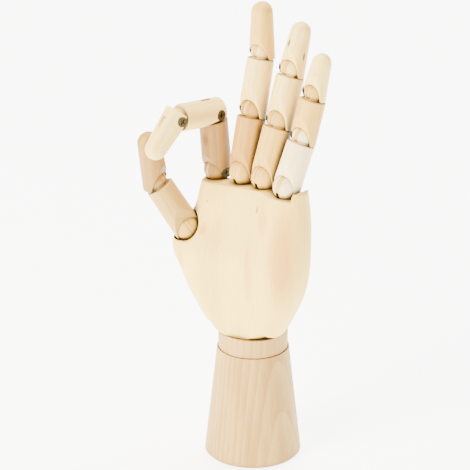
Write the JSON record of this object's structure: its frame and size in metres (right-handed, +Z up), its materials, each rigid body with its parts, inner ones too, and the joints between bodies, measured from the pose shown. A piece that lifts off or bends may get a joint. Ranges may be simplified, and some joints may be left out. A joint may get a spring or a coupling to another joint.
{
  "type": "wooden hand mannequin",
  "caption": "Jointed wooden left hand on a conical forearm, thumb and forefinger meeting in a ring, with ball-rooted fingers and hinged knuckles.",
  "frame": {"origin": "centre of the forearm's flat underside", "axes": "+Z up along the forearm, palm towards -Y, thumb towards -X"},
  "size_m": [0.0845, 0.0728, 0.238],
  "materials": {
    "forearm_wood": "sanded unvarnished light hardwood, pinkish tan",
    "ring_wood": "sanded unvarnished light hardwood",
    "palm_wood": "sanded unvarnished light hardwood, cream",
    "finger_wood": "sanded unvarnished light hardwood",
    "steel_screws": "dark plated steel",
    "spring_wire": "plain spring wire"
  },
  "bodies": {
    "forearm": {"forearm_base": "forearm_wood"},
    "wrist_tie": {"wrist_bolt": "steel_screws", "wrist_washer": "steel_screws", "wrist_spring": "spring_wire"},
    "wrist_ring": {"wrist_ring": "ring_wood"},
    "palm": {"palm": "palm_wood", "palm_screw_eye": "steel_screws"},
    "thumb_spring": {"thumb_spring": "spring_wire"},
    "thumb_ball": {"thumb_ball": "finger_wood"},
    "thumb_proximal": {"thumb_proximal": "finger_wood", "thumb_proximal_tongue": "finger_wood", "thumb_proximal_screw": "steel_screws"},
    "thumb_distal": {"thumb_distal": "finger_wood", "thumb_distal_tongue": "finger_wood", "thumb_distal_screw": "steel_screws"},
    "index_spring": {"index_spring": "spring_wire"},
    "index_ball": {"index_ball": "finger_wood"},
    "index_proximal": {"index_proximal": "finger_wood", "index_proximal_tongue": "finger_wood", "index_proximal_screw": "steel_screws"},
    "index_middle": {"index_middle": "finger_wood", "index_middle_tongue": "finger_wood", "index_middle_screw": "steel_screws"},
    "index_distal": {"index_distal": "finger_wood", "index_distal_tongue": "finger_wood", "index_distal_screw": "steel_screws"},
    "middle_spring": {"middle_spring": "spring_wire"},
    "middle_ball": {"middle_ball": "finger_wood"},
    "middle_proximal": {"middle_proximal": "finger_wood", "middle_proximal_tongue": "finger_wood", "middle_proximal_screw": "steel_screws"},
    "middle_middle": {"middle_middle": "finger_wood", "middle_middle_tongue": "finger_wood", "middle_middle_screw": "steel_screws"},
    "middle_distal": {"middle_distal": "finger_wood", "middle_distal_tongue": "finger_wood", "middle_distal_screw": "steel_screws"},
    "ring_spring": {"ring_spring": "spring_wire"},
    "ring_ball": {"ring_ball": "finger_wood"},
    "ring_proximal": {"ring_proximal": "finger_wood", "ring_proximal_tongue": "finger_wood", "ring_proximal_screw": "steel_screws"},
    "ring_middle": {"ring_middle": "finger_wood", "ring_middle_tongue": "finger_wood", "ring_middle_screw": "steel_screws"},
    "ring_distal": {"ring_distal": "finger_wood", "ring_distal_tongue": "finger_wood", "ring_distal_screw": "steel_screws"},
    "little_spring": {"little_spring": "spring_wire"},
    "little_ball": {"little_ball": "finger_wood"},
    "little_proximal": {"little_proximal": "finger_wood", "little_proximal_tongue": "finger_wood", "little_proximal_screw": "steel_screws"},
    "little_middle": {"little_middle": "finger_wood", "little_middle_tongue": "finger_wood", "little_middle_screw": "steel_screws"},
    "little_distal": {"little_distal": "finger_wood", "little_distal_tongue": "finger_wood", "little_distal_screw": "steel_screws"}
  },
  "joints": [
    {"name": "forearm_turn", "type": "hinge", "parent": "forearm", "child": "wrist_tie", "pos_m": [0, 0, 0.011], "axis": [0, 0, 1], "range_deg": [-90, 90]},
    {"name": "wrist_sway", "type": "hinge", "parent": "wrist_tie", "child": "wrist_ring", "pos_m": [0, 0, 0.07217], "axis": [0, 1, 0], "range_deg": [-7.5, 7.5]},
    {"name": "palm_bend", "type": "hinge", "parent": "wrist_ring", "child": "palm", "pos_m": [-0.0025, 0, 0.08529], "axis": [1, 0, 0], "range_deg": [-14, 14]},
    {"name": "thumb_twist", "type": "hinge", "parent": "palm", "child": "thumb_spring", "pos_m": [-0.0292, -0.0178, 0.1208], "axis": [-0.4198, -0.3387, 0.842], "range_deg": [-14, 20]},
    {"name": "thumb_splay", "type": "hinge", "parent": "thumb_spring", "child": "thumb_ball", "pos_m": [-0.0292, -0.0178, 0.1208], "axis": [-0.8611, 0.4417, -0.2516], "range_deg": [-8, 7]},
    {"name": "thumb_proximal_bend", "type": "hinge", "parent": "thumb_ball", "child": "thumb_proximal", "pos_m": [-0.0292, -0.0178, 0.1208], "axis": [0.2867, 0.8307, 0.4771], "range_deg": [-4.5, 0]},
    {"name": "thumb_distal_bend", "type": "hinge", "parent": "thumb_proximal", "child": "thumb_distal", "pos_m": [-0.04188, -0.02803, 0.14623], "axis": [-0.2545, 0.9345, 0.249], "range_deg": [-29.3, 2]},
    {"name": "index_twist", "type": "hinge", "parent": "palm", "child": "index_spring", "pos_m": [-0.0259, 0, 0.1493], "axis": [-0.0087, -0.0924, 0.9957], "range_deg": [-0.5, 15]},
    {"name": "index_splay", "type": "hinge", "parent": "index_spring", "child": "index_ball", "pos_m": [-0.0259, 0, 0.1493], "axis": [0.0863, 0.9919, 0.0928], "range_deg": [-1.5, 4]},
    {"name": "index_proximal_bend", "type": "hinge", "parent": "index_ball", "child": "index_proximal", "pos_m": [-0.0259, 0, 0.1493], "axis": [0.9962, -0.0868, 0.0006], "range_deg": [-4.5, 10]},
    {"name": "index_middle_bend", "type": "hinge", "parent": "index_proximal", "child": "index_middle", "pos_m": [-0.02617, -0.00289, 0.18046], "axis": [0.9962, -0.0868, 0.0006], "range_deg": [-79.8, 0]},
    {"name": "index_distal_bend", "type": "hinge", "parent": "index_middle", "child": "index_distal", "pos_m": [-0.0283, -0.02731, 0.18256], "axis": [0.9962, -0.0868, 0.0006], "range_deg": [-52.6, 20]},
    {"name": "middle_twist", "type": "hinge", "parent": "palm", "child": "middle_spring", "pos_m": [-0.0075, 0, 0.1524], "axis": [-0.0204, 0.2351, 0.9717], "range_deg": [-10, 10]},
    {"name": "middle_splay", "type": "hinge", "parent": "middle_spring", "child": "middle_ball", "pos_m": [-0.0075, 0, 0.1524], "axis": [0.0049, 0.972, -0.2351], "range_deg": [-6, 3]},
    {"name": "middle_proximal_bend", "type": "hinge", "parent": "middle_ball", "child": "middle_proximal", "pos_m": [-0.0075, 0, 0.1524], "axis": [0.9998, 0, 0.0209], "range_deg": [-4.5, 78]},
    {"name": "middle_middle_bend", "type": "hinge", "parent": "middle_proximal", "child": "middle_middle", "pos_m": [-0.00816, 0.00757, 0.18369], "axis": [0.9998, 0, 0.0209], "range_deg": [-2, 75]},
    {"name": "middle_distal_bend", "type": "hinge", "parent": "middle_middle", "child": "middle_distal", "pos_m": [-0.00876, 0.01456, 0.21255], "axis": [0.9998, 0, 0.0209], "range_deg": [-14, 62]},
    {"name": "ring_twist", "type": "hinge", "parent": "palm", "child": "ring_spring", "pos_m": [0.0079, 0, 0.1537], "axis": [0.0231, 0.3239, 0.9458], "range_deg": [-10, 10]},
    {"name": "ring_splay", "type": "hinge", "parent": "ring_spring", "child": "ring_ball", "pos_m": [0.0079, 0, 0.1537], "axis": [-0.0079, 0.9461, -0.3238], "range_deg": [-3, 3]},
    {"name": "ring_proximal_bend", "type": "hinge", "parent": "ring_ball", "child": "ring_proximal", "pos_m": [0.0079, 0, 0.1537], "axis": [0.9997, 0, -0.0244], "range_deg": [-4.5, 78]},
    {"name": "ring_middle_bend", "type": "hinge", "parent": "ring_proximal", "child": "ring_middle", "pos_m": [0.00858, 0.00956, 0.1816], "axis": [0.9997, 0, -0.0244], "range_deg": [-2, 75]},
    {"name": "ring_distal_bend", "type": "hinge", "parent": "ring_middle", "child": "ring_distal", "pos_m": [0.0092, 0.01741, 0.2068], "axis": [0.9997, 0, -0.0244], "range_deg": [-2, 70]},
    {"name": "little_twist", "type": "hinge", "parent": "palm", "child": "little_spring", "pos_m": [0.0229, 0, 0.1526], "axis": [0.0749, 0.3584, 0.9306], "range_deg": [-10, 10]},
    {"name": "little_splay", "type": "hinge", "parent": "little_spring", "child": "little_ball", "pos_m": [0.0229, 0, 0.1526], "axis": [-0.0287, 0.9336, -0.3572], "range_deg": [-3, 0.5]},
    {"name": "little_proximal_bend", "type": "hinge", "parent": "little_ball", "child": "little_proximal", "pos_m": [0.0229, 0, 0.1526], "axis": [0.9968, 0, -0.0802], "range_deg": [-2.5, 78]},
    {"name": "little_middle_bend", "type": "hinge", "parent": "little_proximal", "child": "little_middle", "pos_m": [0.02491, 0.0096, 0.17754], "axis": [0.9968, 0, -0.0802], "range_deg": [-7, 68]},
    {"name": "little_distal_bend", "type": "hinge", "parent": "little_middle", "child": "little_distal", "pos_m": [0.02666, 0.01526, 0.19935], "axis": [0.9968, 0, -0.0802], "range_deg": [-2, 70]}
  ]
}
